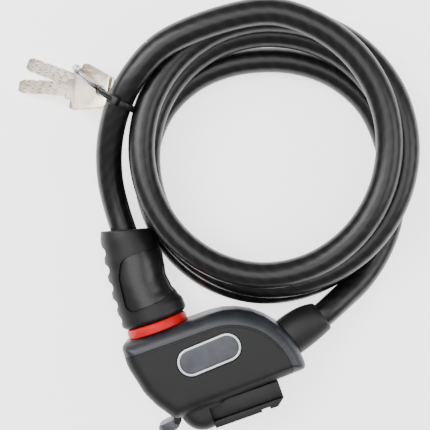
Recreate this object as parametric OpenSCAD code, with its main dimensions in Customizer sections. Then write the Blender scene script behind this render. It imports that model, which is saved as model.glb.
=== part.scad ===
// Coil cable lock: a lock head with a pull-out latch grip, on a thick coiled steel cable.
// The head lies on its back on z = 0, with +X along the head towards the cable boot
// and +Y along the latch, from the head towards the grip.

/* [Lock head] */
// Thickness of the head, front face to back face
head_h = 40; // [38:0.5:44]
// Radius of the round shoulder on the cable side
shoulder_r = 43.5; // [42:0.5:46]
// Width of the grey shoulder band, seen from the front
band_w = 8; // [7:0.5:9]
// Wall thickness of the two covers
cover_wall = 2.6; // [2:0.1:3]

/* [Latch] */
// Distance of the latch axis from the origin, to the left
latch_offset = 26.5; // [25.5:0.5:27]
// Radius of the latch bolt
bolt_r = 6; // [5.5:0.1:6.2]
// Sliding clearance between the bolt and its guide
bolt_clearance = 0.06; // [0.03:0.01:0.1]
// Distance that the latch pulls out
latch_travel = 20; // [18:1:20]
// Radius of the grip at its middle
grip_r = 14.6; // [14:0.1:15]
// Height of the red ring at the mouth
mouth_ring_h = 5.2; // [4:0.2:5.4]

/* [Key cylinder] */
// Radius of the turning plug
plug_r = 6.2; // [6:0.1:6.4]
// Number of pin pairs in the cylinder
pin_count = 5; // [4:1:5]

/* [Keys] */
// Width of a key bow
bow_w = 25; // [23:0.5:26]
// Length of a key blade
blade_len = 34; // [30:1:36]
// Thickness of a key
key_t = 2.2; // [2:0.1:2.4]

/* [Cable] */
// Diameter of the cable over its plastic jacket
cable_d = 15; // [14:0.5:15]

/* [Hidden] */
$fn = 64;
edge_fn = 32;

mid_z = head_h / 2;
joint_gap = 0.15;

// Head outline: a round shoulder on the right, a nose for the key cylinder at the lower left
shoulder_centre = [4, -13.5];
cover_r = shoulder_r - band_w;
head_top = shoulder_centre.y + shoulder_r;
band_line = shoulder_centre.y + cover_r;
head_bottom = -20.6;
left_top = [-45.5, head_top - 3];
left_side = [-43.5, 17];
left_low = [-38, -2];
nose_centre = [-18, -20];
nose_r = 13.5;
nose_step = 0.25;
nose_edge = 5;
keyway_corner = [-32.6, -18.9];
cavity_step = 9.5;
cavity_inset = 7;
right_low = [44.5, -15.5];
rail_start = -13;

// The key cylinder's axis is square to the flat between the left side and the nose
cyl_angle = 34.5;
cyl_face = [-38.1, -14.2];
housing_r = 8.6;
housing_len = 20;
cam_t = 2;
cam_pin_r = 1.5;
cam_pin_offset = 4;
cam_pin_len = 9.2;
keyway_w = 8.8;
keyway_t = 2.6;
pin_r = 1.2;
pin_pitch = 3.2;

// Flap over the keyway, hinged below it
flap_hinge = [-33.7, -22.8];
flap_len = 12;
flap_w = 15;
flap_open_angle = 182;
flap_pin_r = 0.8;
knuckle_r = 1.9;
lug_t = 3;

// Latch bolt, along Y at latch_x
latch_x = -latch_offset;
bolt_tip = 16;
bolt_groove = [19, 21.8];
bolt_groove_r = 4.4;
bolt_head_r = 8.2;
bolt_head = [47, 60];
guide_r = 9;
guide_bottom = 6.5;
ejector_gap = 0.3;
grip_bottom = head_top + mouth_ring_h + 0.4;
grip_top = 89.3;
pad_t = 2.4;

// Cable exit
boot_angle = 17.5;
boot_base = [45.9, -1.2];
boot_len = 21.5;
boot_r = 10.2;
boot_tip_r = 9.2;

// Cover screws
screw_spots = [[-42, 13.5], [18, 13], [6, -14.5]];
screw_r = 1.5;
screw_head_r = 2.8;

// Cable: outer shape of the coil, and the routes of its two ends
cable_r = cable_d / 2;
coil_centre = [68, 104];
coil_mid_r = 75;
coil_half_w = 10.5;
coil_h = 57;
tube_sides = 12;
latch_route = [[-26.5, 90, 20], [-26, 105, 21.2], [-23.4, 122, 25], [-17, 139.5, 31.5],
               [-6, 156, 39], [10, 170.5, 45.5], [34, 181.5, 49]];
body_route = [[31, -5.8, 20], [46, -1.1, 20], [66.6, 5.5, 20], [80, 10.5, 17], [95.5, 16.5, 11],
              [110.5, 27, 8.2], [123, 41, 7.7], [132.5, 59.5, 7.6]];

// Keys on their tie: the hole of both keys, and the tilt at which their tips meet the ground
key_hole = [-10.7, 171.5, 26];
key_heading = 145.6;
key_spread = 7.3;
key_tilt = 26;
key_hole_r = 3.2;
bow_front = 20;
bow_back = 5;
blade_w = 9;
tie_at = [-2, 159.5, 40.2];
tie_t = 1.1;
tie_w = 2.6;
tie_inner = 8.6;
tie_end_inner = 4.2;
ring_mid_r = 11.3;
ring_wire_r = 0.75;
ring_heading = 117.6;

function unit(v) = v / norm(v);

// ---- shared shapes ----

// Moves a shape from the Z axis to the latch axis, with z as the distance along +Y
module on_latch() {
    translate([latch_x, 0, mid_z]) rotate([-90, 0, 0]) children();
}

// Moves a shape from the Z axis to the key cylinder's axis, with z as the depth from its face
module on_cylinder() {
    translate([cyl_face.x, cyl_face.y, mid_z]) rotate([0, 90, cyl_angle]) children();
}

// Moves a shape from the Z axis to the cable exit's axis, with z as the distance outwards
module on_boot() {
    translate([boot_base.x, boot_base.y, mid_z]) rotate([0, 90, boot_angle]) children();
}

// Moves a shape to the keys' common hole, with x towards the key tips and z square to the keys
module on_keys(turn = 0) {
    translate(key_hole) rotate([0, 0, key_heading]) rotate([0, key_tilt, 0]) rotate([0, 0, turn]) children();
}

module tube(outer_r, inner_r, z0, z1) {
    translate([0, 0, z0]) difference() {
        cylinder(r = outer_r, h = z1 - z0);
        translate([0, 0, -1]) cylinder(r = inner_r, h = z1 - z0 + 2);
    }
}

module head_main() {
    hull() {
        translate(left_top) circle(r = 3, $fn = edge_fn);
        translate(left_side) circle(r = 5.5, $fn = edge_fn);
        translate(left_low) circle(r = 7, $fn = edge_fn);
        translate(keyway_corner) circle(r = 1.5, $fn = edge_fn);
        translate(right_low) circle(r = 3, $fn = edge_fn);
        translate([rail_start, head_bottom + 3]) circle(r = 3, $fn = edge_fn);
        intersection() {
            translate(shoulder_centre) circle(r = shoulder_r, $fn = 96);
            translate(shoulder_centre) square(shoulder_r + 1);
        }
    }
}

// The nose round the key cylinder, turned, with rounded front and back edges
module head_nose() {
    h = head_h - 2 * nose_step;
    translate([nose_centre.x, nose_centre.y, nose_step]) rotate_extrude() {
        square([nose_r - nose_edge, h]);
        translate([0, nose_edge]) square([nose_r, h - 2 * nose_edge]);
        translate([nose_r - nose_edge, nose_edge]) circle(r = nose_edge);
        translate([nose_r - nose_edge, h - nose_edge]) circle(r = nose_edge);
    }
}

// A flat body with rounded front and back edges, in three steps
module pillow() {
    steps = [[0, 9], [3.2, 3.4], [8.5, 0]];
    hull() for (s = steps)
        translate([0, 0, s[1]]) linear_extrude(head_h - 2 * s[1])
            offset(delta = -s[0]) children();
}

module head_solid() {
    pillow() head_main();
    difference() {
        head_nose();
        translate([rail_start, head_bottom - 20, -1]) cube([40, 20, head_h + 2]);
    }
}

// The area inside the shoulder band, where the covers lie: a round corner, open to the left and below
module cover_area(grow = 0) {
    r = cover_r + grow;
    arc = [for (a = [90:-5:0]) shoulder_centre + r * [cos(a), sin(a)]];
    polygon(concat([[-80, shoulder_centre.y + r]], arc, [[shoulder_centre.x + r, -60], [-80, -60]]));
}

// ---- lock head ----

module centre_frame() {
    color("dimgray") difference() {
        pillow() head_main();
        translate([0, 0, -1]) linear_extrude(head_h + 2) cover_area(joint_gap);
        on_latch() translate([0, 0, band_line - 2]) cylinder(r = guide_r, h = 20);
        on_boot() translate([0, 0, -20]) cylinder(r = cable_r + 1.6, h = 40);
    }
}

// Hollow between the covers, as a flat space that is smaller near the front and back faces
module cover_cavity(inset, depth) {
    translate([0, 0, depth]) linear_extrude(head_h - 2 * depth) intersection() {
        offset(delta = -inset) head_main();
        cover_area(-cover_wall / 2);
    }
}

// One cover, as the half of the hollow head between two heights
module cover_half(z0, z1) {
    difference() {
        intersection() {
            head_solid();
            translate([0, 0, z0]) linear_extrude(z1 - z0) cover_area();
        }
        cover_cavity(cover_wall, cavity_step);
        cover_cavity(cavity_inset, cover_wall);
    }
}

module boss_pillars(r, z0, z1) {
    for (s = screw_spots) translate([s.x, s.y, z0]) cylinder(r = r, h = z1 - z0);
}

// Two upright pins beside the cable, through the ferrule's shoulders
module ferrule_pins(grow, length) {
    on_boot() for (side = [-1, 1])
        translate([length / 2, side * (cable_r + 3.2), -14]) rotate([0, -90, 0])
            cylinder(r = 1.5 + grow, h = length);
}

// An ear beside the flap, from a height, that holds one end of its hinge pin
module hinge_lug(z) {
    translate([flap_hinge.x, flap_hinge.y, z]) {
        cylinder(r = 2.3, h = lug_t);
        rotate([0, 0, 18]) translate([0, -2, 0]) cube([7, 4, lug_t]);
    }
}

// A round bar on the flap's hinge axis
module flap_axis(r, length) {
    translate([flap_hinge.x, flap_hinge.y, mid_z - length / 2]) cylinder(r = r, h = length);
}

// Openings that both covers share: latch guide, key cylinder, cable ferrule and flap knuckle
module head_openings() {
    on_latch() translate([0, 0, guide_bottom - 2]) cylinder(r = guide_r + 0.2, h = 40);
    on_cylinder() translate([0, 0, -10]) cylinder(r = housing_r, h = housing_len + 10);
    on_boot() translate([0, 0, -20]) cylinder(r = cable_r + 1.7, h = 30);
    translate([flap_hinge.x, flap_hinge.y, mid_z - flap_w / 2 - 0.4])
        cylinder(r = knuckle_r + 1.2, h = flap_w + 0.8);
    translate([latch_x + bolt_r - 2.4, bolt_groove[0] - 0.2, mid_z - 5.9]) cube([13.2, 3, 11.8]);
    ferrule_pins(0.05, 16.4);
    flap_axis(flap_pin_r + 0.02, flap_w + 4.4);
}

module badge_shape(grow) {
    hull() for (side = [-1, 1])
        translate([-2.6 + side * 10.5, 8, 0]) circle(r = 8.2 + grow, $fn = 48);
}

module front_cover() {
    color([0.09, 0.09, 0.1]) difference() {
        union() {
            cover_half(mid_z + joint_gap / 2, head_h);
            boss_pillars(3.2, mid_z + joint_gap / 2, head_h - cover_wall + 0.5);
            hinge_lug(mid_z + flap_w / 2 + 0.4);
        }
        head_openings();
        boss_pillars(screw_r - 0.05, mid_z - 1, mid_z + 9);
        translate([0, 0, head_h - 1.2]) linear_extrude(2) badge_shape(1);
    }
}

module back_cover() {
    color([0.08, 0.08, 0.09]) difference() {
        union() {
            cover_half(0, mid_z - joint_gap / 2);
            boss_pillars(4.2, 1, mid_z - joint_gap / 2);
            hinge_lug(mid_z - flap_w / 2 - 0.4 - lug_t);
        }
        head_openings();
        boss_pillars(screw_r + 0.2, -1, mid_z + 1);
        boss_pillars(screw_head_r + 0.2, -1, 4.4);
    }
}

module badge_plate() {
    color("darkgray") translate([0, 0, head_h - 1.1]) linear_extrude(1.2) badge_shape(-1.3);
}

module badge_rim() {
    color("white") translate([0, 0, head_h - 1.1]) linear_extrude(1.5) difference() {
        badge_shape(0);
        badge_shape(-1.2);
    }
}

module mouth_ring() {
    color("red") on_latch() difference() {
        union() {
            translate([0, 0, head_top + 0.05]) cylinder(r = 18, h = mouth_ring_h - 0.8);
            translate([0, 0, head_top + mouth_ring_h - 0.8]) cylinder(r = 17.2, h = 0.75);
        }
        translate([0, 0, head_top - 1]) cylinder(r = guide_r + 0.3, h = 10);
    }
}

module mouth_seal() {
    color([0.05, 0.05, 0.05]) on_latch()
        tube(guide_r + 0.2, bolt_r + 0.35, head_top + 1.6, head_top + mouth_ring_h - 0.4);
}

module bolt_guide() {
    color("silver") on_latch() difference() {
        translate([0, 0, guide_bottom]) cylinder(r = guide_r - 0.05, h = head_top + 1.2 - guide_bottom);
        translate([0, 0, guide_bottom + 1.5]) cylinder(r = bolt_r + bolt_clearance, h = 40);
        translate([2, -6.5, bolt_groove[0] - 0.1]) cube([10, 13, bolt_groove[1] - bolt_groove[0] + 0.2]);
    }
}

module boot_sleeve() {
    color([0.1, 0.1, 0.11]) on_boot() difference() {
        union() {
            translate([0, 0, 1.7]) cylinder(r1 = boot_r, r2 = boot_tip_r, h = boot_len - 2.7);
            translate([0, 0, boot_len - 1]) cylinder(r1 = boot_tip_r, r2 = boot_tip_r - 1, h = 1);
            translate([0, 0, -6]) cylinder(r = cable_r + 1.5, h = 8);
        }
        translate([0, 0, -10]) cylinder(r = cable_r + 0.15, h = boot_len + 20);
    }
}

module body_ferrule() {
    color("silver") on_boot() tube(cable_r + 1.5, cable_r + 0.1, -19, -6.2);
}

module ferrule_pin() {
    color("gray") ferrule_pins(0, 16);
}

module cylinder_housing() {
    color("goldenrod") on_cylinder() difference() {
        union() {
            translate([0, 0, 0.7]) cylinder(r = housing_r - 0.05, h = housing_len - 0.7);
            translate([0, 0, -0.1]) cylinder(r = housing_r - 1.6, h = 1);
        }
        translate([0, 0, -3]) cylinder(r = plug_r + 0.05, h = housing_len + 4);
        for (i = [0:pin_count - 1]) translate([0, 0, 4 + i * pin_pitch]) rotate([0, 90, 0])
            translate([0, 0, -housing_r + 0.6]) cylinder(r = pin_r + 0.05, h = housing_r - 1);
    }
}

// A row of pins square to the cylinder's axis, between two distances from it
module pin_row(r, from, to) {
    on_cylinder() for (i = [0:pin_count - 1])
        translate([0, 0, 4 + i * pin_pitch]) rotate([0, -90, 0]) translate([0, 0, from])
            cylinder(r = r, h = to - from);
}

module driver_pins() {
    color("silver") pin_row(pin_r, plug_r + 0.15, plug_r + 1.2);
}

module pin_springs() {
    color("silver") pin_row(0.8, plug_r + 1.2, housing_r - 0.7);
}

module cylinder_plug() {
    color("gold") on_cylinder() difference() {
        cylinder(r = plug_r, h = housing_len);
        translate([-keyway_w / 2, -keyway_t / 2, -2]) cube([keyway_w, keyway_t, housing_len]);
        for (i = [0:pin_count - 1]) translate([0, 0, 4 + i * pin_pitch]) rotate([0, -90, 0])
            translate([0, 0, 1]) cylinder(r = pin_r + 0.05, h = plug_r);
    }
}

module key_pins() {
    color("silver") pin_row(pin_r, keyway_w / 2 - 1.4, plug_r - 0.15);
}

module lock_cam() {
    color("gray") on_cylinder() {
        translate([0, 0, housing_len + 0.3]) cylinder(r = plug_r - 0.4, h = cam_t);
        translate([0, -cam_pin_offset, housing_len + 0.3 + cam_t]) cylinder(r = cam_pin_r, h = cam_pin_len);
    }
}

// Plate that enters the bolt's groove, with a window around the cam's pin
module catch_slide() {
    color("gray") difference() {
        union() {
            translate([latch_x + bolt_r + 0.4, bolt_groove[0] + 0.3, mid_z - 5.5]) cube([10, 2.1, 11]);
            translate([latch_x + bolt_r + 8.2, -8, mid_z - 5.5]) cube([2.2, 29.4, 11]);
        }
        translate([latch_x + bolt_r, -6.4, mid_z - 3.4]) cube([12, 14, 12]);
    }
}

module ejector_plunger() {
    color("silver") on_latch() {
        translate([0, 0, bolt_tip - ejector_gap - 2.4]) cylinder(r = bolt_r - 0.02, h = 2.4);
        translate([0, 0, bolt_tip - ejector_gap - 5.5]) cylinder(r = 2.4, h = 3.2);
    }
}

module ejector_spring() {
    turns = 4;
    wire_r = 0.45;
    z0 = guide_bottom + 1.5 + wire_r + 0.05;
    z1 = bolt_tip - ejector_gap - 2.4 - wire_r - 0.05;
    color("silver") on_latch() for (i = [0:turns - 1])
        translate([0, 0, z0 + (z1 - z0) * i / (turns - 1)]) rotate_extrude()
            translate([3.8, 0]) circle(r = wire_r, $fn = 16);
}

module keyway_flap() {
    color("gray") translate([flap_hinge.x, flap_hinge.y, mid_z]) rotate([0, 0, flap_open_angle])
        difference() {
            union() {
                translate([0, 0, -flap_w / 2]) cylinder(r = knuckle_r, h = flap_w);
                intersection() {
                    translate([0, 0, -flap_w / 2]) linear_extrude(flap_w) hull() {
                        translate([1, 0.2]) circle(r = 1.5, $fn = edge_fn);
                        translate([flap_len * 0.55, 2.2]) circle(r = 2.2, $fn = edge_fn);
                        translate([flap_len - 1.6, 1.6]) circle(r = 1.6, $fn = edge_fn);
                    }
                    translate([flap_len / 2 - 1, 10, 0]) rotate([90, 0, 0]) cylinder(r = flap_w / 2 + 0.4, h = 20);
                }
            }
            translate([0, 0, -flap_w]) cylinder(r = flap_pin_r + 0.05, h = 2 * flap_w);
        }
}

module flap_pin() {
    color("silver") flap_axis(flap_pin_r, flap_w + 4);
}

// Rail for the carrier bracket: a foot, a narrow neck and a wider flange with a locking notch
module mount_rail() {
    rail_end = 29.3;
    flange_end = 24.6;
    color([0.16, 0.16, 0.17]) {
        translate([rail_start, -27.6, 8]) cube([rail_end - rail_start, 27.6 + head_bottom - 0.1, head_h - 16]);
        translate([rail_start, -29.6, 12]) cube([rail_end - rail_start, 2.1, head_h - 24]);
        difference() {
            translate([0, 0, 6.5]) linear_extrude(head_h - 13)
                polygon([[rail_start, -29.5], [rail_end, -29.5], [flange_end, -33.3], [rail_start, -33.3]]);
            translate([15, -34.6, 0]) cube([5, 2.6, head_h]);
        }
    }
}

module cover_screws() {
    color("silver") for (s = screw_spots) translate([s.x, s.y, 0]) difference() {
        union() {
            translate([0, 0, 1.6]) cylinder(r = screw_head_r, h = 2.7);
            translate([0, 0, 4.2]) cylinder(r = screw_r, h = 22);
        }
        translate([0, 0, 1]) cylinder(r = 1.4, h = 2, $fn = 6);
    }
}

// ---- latch ----

module grip_sleeve() {
    scallop_pitch = 8.6;
    color([0.1, 0.1, 0.11]) difference() {
        on_latch() difference() {
            rotate_extrude() polygon([
                [bolt_head_r + 0.2, grip_bottom], [17, grip_bottom], [17.4, grip_bottom + 1.5],
                [17, grip_bottom + 4], [15.2, grip_bottom + 10], [grip_r, grip_bottom + 20],
                [grip_r, grip_top - 12], [grip_r + 0.4, grip_top - 2.5], [grip_r - 1.2, grip_top],
                [cable_r + 0.15, grip_top], [cable_r + 0.15, bolt_head[1] + 16],
                [bolt_head_r + 0.2, bolt_head[1] + 15]]);
        }
        for (i = [0:4])
            translate([latch_x - grip_r - 2.2, grip_bottom + 6.5 + i * scallop_pitch, -1])
                cylinder(r = 3.6, h = head_h + 2);
        thumb_area(grip_r - pad_t, 30, 0.1);
    }
}

// The part of the grip's front that the thumb pad fills, between two radii
module thumb_area(inner_r, outer_r, grow) {
    difference() {
        intersection() {
            translate([0, 0, mid_z + 4]) linear_extrude(head_h) hull() for (x = [-4.5, 7], y = [48, 76])
                translate([latch_x + x, y]) circle(r = 5 + grow, $fn = edge_fn);
            on_latch() translate([0, 0, 30]) cylinder(r = outer_r, h = 60);
        }
        on_latch() translate([0, 0, 29]) cylinder(r = inner_r, h = 62);
    }
}

module thumb_pad() {
    color([0.13, 0.13, 0.14]) thumb_area(grip_r - pad_t + 0.1, grip_r - 0.4, 0);
}

module latch_bolt() {
    color("silver") on_latch() rotate_extrude() polygon([
        [0, bolt_tip], [bolt_r - 1, bolt_tip], [bolt_r, bolt_tip + 1.4], [bolt_r, bolt_groove[0]],
        [bolt_groove_r, bolt_groove[0]], [bolt_groove_r, bolt_groove[1]], [bolt_r, bolt_groove[1]],
        [bolt_r, bolt_head[0]], [bolt_head_r, bolt_head[0]], [bolt_head_r, bolt_head[1]],
        [0, bolt_head[1]]]);
}

module latch_ferrule() {
    color("silver") on_latch() tube(bolt_head_r + 0.1, cable_r, bolt_head[1] + 0.05, bolt_head[1] + 14.8);
}

module cable_latch_end() {
    color([0.12, 0.12, 0.13]) on_latch()
        translate([0, 0, bolt_head[1] + 0.1]) cylinder(r = cable_r - 0.05, h = grip_top - bolt_head[1] - 0.1);
}

// ---- cable ----

// Smooth curve through four route points, at fraction f between the middle two
function curve_point(p, i, f) =
    let (n = len(p) - 1, a = p[max(i - 1, 0)], b = p[i], c = p[i + 1], d = p[min(i + 2, n)])
    0.5 * (2 * b + (c - a) * f + (2 * a - 5 * b + 4 * c - d) * f * f + (3 * b - a - 3 * c + d) * f * f * f);

// A round tube swept along a route, with the given number of rings between route points
module swept_tube(route, r, rings) {
    last = len(route) - 1;
    path = [for (i = [0:last - 1]) for (k = [0:rings - 1]) curve_point(route, i, k / rings), route[last]];
    count = len(path);
    faces_round = [for (i = [0:count - 2]) for (k = [0:tube_sides - 1])
        [i * tube_sides + k, i * tube_sides + (k + 1) % tube_sides,
         (i + 1) * tube_sides + (k + 1) % tube_sides, (i + 1) * tube_sides + k]];
    ring_points = [for (i = [0:count - 1])
        let (t = unit(path[min(i + 1, count - 1)] - path[max(i - 1, 0)]),
             side = unit(cross(t, [0, 0, 1])), up = cross(side, t))
        for (k = [0:tube_sides - 1])
            path[i] + r * (side * cos(360 * k / tube_sides) + up * sin(360 * k / tube_sides))];
    start_cap = [for (k = [tube_sides - 1:-1:0]) k];
    end_cap = [for (k = [0:tube_sides - 1]) (count - 1) * tube_sides + k];
    polyhedron(points = ring_points, faces = concat([start_cap], faces_round, [end_cap]), convexity = 4);
}

// Room for the grip beside the coil, over its whole travel
module grip_clearance() {
    on_latch() translate([0, 0, 20]) cylinder(r = 17.9, h = grip_top + latch_travel - 18);
}

module cable_coil() {
    color([0.14, 0.14, 0.15]) difference() {
        translate([coil_centre.x, coil_centre.y, 0]) rotate_extrude($fn = 128) {
            translate([coil_mid_r, coil_half_w]) circle(r = coil_half_w);
            translate([coil_mid_r - coil_half_w, coil_half_w]) square([2 * coil_half_w, coil_h - 2 * coil_half_w]);
            translate([coil_mid_r, coil_h - coil_half_w]) circle(r = coil_half_w);
        }
        grip_clearance();
        on_tie() translate([0, 0, -tie_w / 2 - 0.3]) cylinder(r = tie_inner + tie_t + 0.3, h = tie_w + 0.6);
    }
}

module cable_body_run() {
    color([0.14, 0.14, 0.15]) swept_tube(body_route, cable_r, 2);
}

module cable_latch_run() {
    color([0.14, 0.14, 0.15]) swept_tube(latch_route, cable_r, 2);
}

// ---- keys ----

// Places a flat shape with its x axis from the cable to the key hole, square to the keys' plane
module on_tie() {
    x = unit(key_hole - tie_at);
    n = [sin(key_tilt) * cos(key_heading), sin(key_tilt) * sin(key_heading), cos(key_tilt)];
    z = unit(cross(x, n));
    y = cross(z, x);
    multmatrix([[x.x, y.x, z.x, tie_at.x], [x.y, y.y, z.y, tie_at.y], [x.z, y.z, z.z, tie_at.z], [0, 0, 0, 1]])
        children();
}

module key_tie() {
    reach = norm(key_hole - tie_at) - tie_end_inner - tie_t / 2;
    color([0.06, 0.06, 0.06]) on_tie() {
        translate([0, 0, -tie_w / 2]) linear_extrude(tie_w) difference() {
            hull() {
                circle(r = tie_inner + tie_t, $fn = 48);
                translate([reach, 0]) circle(r = tie_end_inner + tie_t, $fn = edge_fn);
            }
            hull() {
                circle(r = tie_inner, $fn = 48);
                translate([reach, 0]) circle(r = tie_end_inner, $fn = edge_fn);
            }
        }
        translate([3, tie_inner + tie_t - 1, -2.4]) cube([5, 3.6, 4.8]);
    }
}

module key_ring() {
    color("silver") on_keys(ring_heading - key_heading) translate([ring_mid_r + 1.7, 0, 0])
        rotate([90, 0, 0]) rotate_extrude() translate([ring_mid_r, 0]) circle(r = ring_wire_r, $fn = 24);
}

module key_outline() {
    tip_w = 6.4;
    hull() {
        for (side = [-1, 1]) {
            translate([bow_front - 2, side * (bow_w / 2 - 2)]) circle(r = 2, $fn = edge_fn);
            translate([bow_front - 4, side * (bow_w / 2 - 1.6)]) circle(r = 2, $fn = edge_fn);
            translate([-bow_back + 2.5, side * (bow_w / 2 - 5)]) circle(r = 2.5, $fn = edge_fn);
        }
    }
    polygon([[0, -blade_w / 2], [bow_front + blade_len - 4, -blade_w / 2],
             [bow_front + blade_len, -tip_w / 2], [bow_front + blade_len, tip_w / 2],
             [bow_front + blade_len - 4, blade_w / 2], [0, blade_w / 2]]);
    translate([0, -blade_w / 2 - 1.6]) square([bow_front + 4, blade_w + 3.2]);
}

// A dimple key: bow with a hole, shoulder, and a blade with rows of round dimples on both faces
module key_shape() {
    dimple_r = 1.5;
    dimple_depth = 0.55;
    difference() {
        linear_extrude(key_t) key_outline();
        translate([0, 0, -1]) cylinder(r = key_hole_r, h = key_t + 2);
        for (i = [0:pin_count - 1]) for (row = [-1, 1]) for (z = [0, key_t])
            translate([bow_front + 8 + i * 5.2 + row, row * 2.1, z == 0 ? -1 : z - dimple_depth])
                cylinder(r = dimple_r - 0.15 * i, h = 1 + dimple_depth);
    }
}

module key_1() {
    color("lightgray") on_keys(key_spread) translate([0, 0, 0.15]) key_shape();
}

module key_2() {
    color("lightgray") on_keys(-key_spread) translate([0, 0, -key_t - 0.15]) key_shape();
}

centre_frame();
front_cover();
back_cover();
badge_plate();
badge_rim();
mouth_ring();
mouth_seal();
bolt_guide();
boot_sleeve();
body_ferrule();
ferrule_pin();
cylinder_housing();
driver_pins();
pin_springs();
mount_rail();
cover_screws();
ejector_spring();
flap_pin();
cable_coil();
cable_body_run();
cable_latch_run();
key_tie();
grip_sleeve();
thumb_pad();
latch_bolt();
latch_ferrule();
cable_latch_end();
cylinder_plug();
key_pins();
lock_cam();
catch_slide();
ejector_plunger();
keyway_flap();
key_ring();
key_1();
key_2();
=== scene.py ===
# Coil cable lock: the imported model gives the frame, and the looks are built here round it.
# Lengths in the settings are millimetres, as on a drawing; a finished piece is in metres.

import math

import bmesh
import bpy
from mathutils import Matrix, Vector


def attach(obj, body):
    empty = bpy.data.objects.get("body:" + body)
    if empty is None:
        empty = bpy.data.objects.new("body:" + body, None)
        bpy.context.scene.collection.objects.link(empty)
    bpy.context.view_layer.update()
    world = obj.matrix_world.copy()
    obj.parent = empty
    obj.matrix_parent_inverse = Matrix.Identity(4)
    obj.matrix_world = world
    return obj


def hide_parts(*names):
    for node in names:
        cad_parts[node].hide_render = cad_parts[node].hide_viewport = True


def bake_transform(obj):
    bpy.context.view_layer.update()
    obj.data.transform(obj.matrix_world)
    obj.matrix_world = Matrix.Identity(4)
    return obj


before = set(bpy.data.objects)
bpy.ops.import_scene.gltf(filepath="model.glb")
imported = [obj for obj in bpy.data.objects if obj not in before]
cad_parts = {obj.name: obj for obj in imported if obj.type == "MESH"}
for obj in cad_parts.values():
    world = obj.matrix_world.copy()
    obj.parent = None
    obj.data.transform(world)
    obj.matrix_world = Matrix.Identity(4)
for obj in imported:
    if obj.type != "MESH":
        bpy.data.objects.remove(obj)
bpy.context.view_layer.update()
mm = 0.001


# ---- tools for modelling ----

def activate(piece):
    for other in list(bpy.context.selected_objects):
        other.select_set(False)
    piece.select_set(True)
    bpy.context.view_layer.objects.active = piece


def startEdit(piece, select="SELECT"):
    activate(piece)
    bpy.ops.object.mode_set(mode="EDIT")
    bpy.ops.mesh.select_all(action=select)


def endEdit():
    bpy.ops.object.mode_set(mode="OBJECT")


def newest(name):
    piece = bpy.context.object
    piece.name = name
    piece.data.name = name
    return piece


def selectFaces(piece, wanted):
    bpy.ops.mesh.select_mode(type="FACE")
    bpy.ops.mesh.select_all(action="DESELECT")
    cage = bmesh.from_edit_mesh(piece.data)
    for face in cage.faces:
        face.select_set(wanted(face.calc_center_median(), face.normal))
    bmesh.update_edit_mesh(piece.data)


def withModifier(piece, kind, **settings):
    activate(piece)
    modifier = piece.modifiers.new(kind.title(), kind)
    for key, value in settings.items():
        setattr(modifier, key, value)
    bpy.ops.object.modifier_apply(modifier=modifier.name)
    return piece


def tidyShell(piece):
    startEdit(piece)
    bpy.ops.mesh.remove_doubles(threshold=0.002)
    bpy.ops.mesh.dissolve_degenerate(threshold=0.0005)
    bpy.ops.mesh.select_all(action="SELECT")
    bpy.ops.mesh.normals_make_consistent(inside=False)
    endEdit()
    return piece


def filletedLoop(corners, steps=8):
    # Each corner is x, y and a radius; the arc is replaced by a few points
    loop = []
    for i, (x, y, radius) in enumerate(corners):
        corner = Vector((x, y))
        before = (Vector(corners[i - 1][:2]) - corner).normalized()
        after = (Vector(corners[(i + 1) % len(corners)][:2]) - corner).normalized()
        half = before.angle(after) / 2
        if radius < 0.01 or half > math.radians(89.5):
            loop.append(corner)
            continue
        middle = corner + (before + after).normalized() * (radius / math.sin(half))
        start = corner + before * (radius / math.tan(half)) - middle
        end = corner + after * (radius / math.tan(half)) - middle
        turn = start.angle_signed(end)
        for k in range(steps + 1):
            spin = -turn * k / steps
            loop.append(middle + Vector((start.x * math.cos(spin) - start.y * math.sin(spin),
                                         start.x * math.sin(spin) + start.y * math.cos(spin))))
    return loop


def insetCorners(corners, inset):
    # Corners run anticlockwise; every side moves inwards by the inset
    moved = []
    for i, (x, y, radius) in enumerate(corners):
        corner = Vector((x, y))
        before = (corner - Vector(corners[i - 1][:2])).normalized()
        after = (Vector(corners[(i + 1) % len(corners)][:2]) - corner).normalized()
        inBefore, inAfter = Vector((-before.y, before.x)), Vector((-after.y, after.x))
        shift = (inBefore + inAfter) / (1 + inBefore.dot(inAfter))
        moved.append((x + shift.x * inset, y + shift.y * inset, max(radius - inset, 0.6)))
    return moved


def outlineSolid(name, loop, low, high):
    # A circle's rim is moved onto the outline, then raised
    bpy.ops.mesh.primitive_circle_add(vertices=len(loop), radius=1, fill_type="NGON")
    piece = newest(name)
    for vertex, point in zip(piece.data.vertices, loop):
        vertex.co = (point[0], point[1], low)
    startEdit(piece)
    bpy.ops.mesh.extrude_region_move(TRANSFORM_OT_translate={"value": (0, 0, high - low)})
    endEdit()
    return tidyShell(piece)


def turnedSolid(name, profile, steps=72):
    # The profile is a closed loop of radius and height, turned round Z
    bpy.ops.mesh.primitive_circle_add(vertices=len(profile), radius=1, fill_type="NOTHING")
    piece = newest(name)
    for vertex, (radius, height) in zip(piece.data.vertices, profile):
        vertex.co = (radius, 0, height)
    startEdit(piece)
    bpy.ops.mesh.spin(steps=steps, angle=2 * math.pi, center=(0, 0, 0), axis=(0, 0, 1))
    endEdit()
    return tidyShell(piece)


def roundBar(name, radius, low, high, sides=48):
    bpy.ops.mesh.primitive_cylinder_add(vertices=sides, radius=radius, depth=high - low,
                                        location=(0, 0, (low + high) / 2))
    piece = newest(name)
    bpy.ops.object.transform_apply(location=True, rotation=True, scale=True)
    return piece


def block(name, low, high):
    middle = [(a + b) / 2 for a, b in zip(low, high)]
    bpy.ops.mesh.primitive_cube_add(size=1, location=middle)
    piece = newest(name)
    piece.scale = [b - a for a, b in zip(low, high)]
    bpy.ops.object.transform_apply(location=True, rotation=True, scale=True)
    return piece


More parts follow.
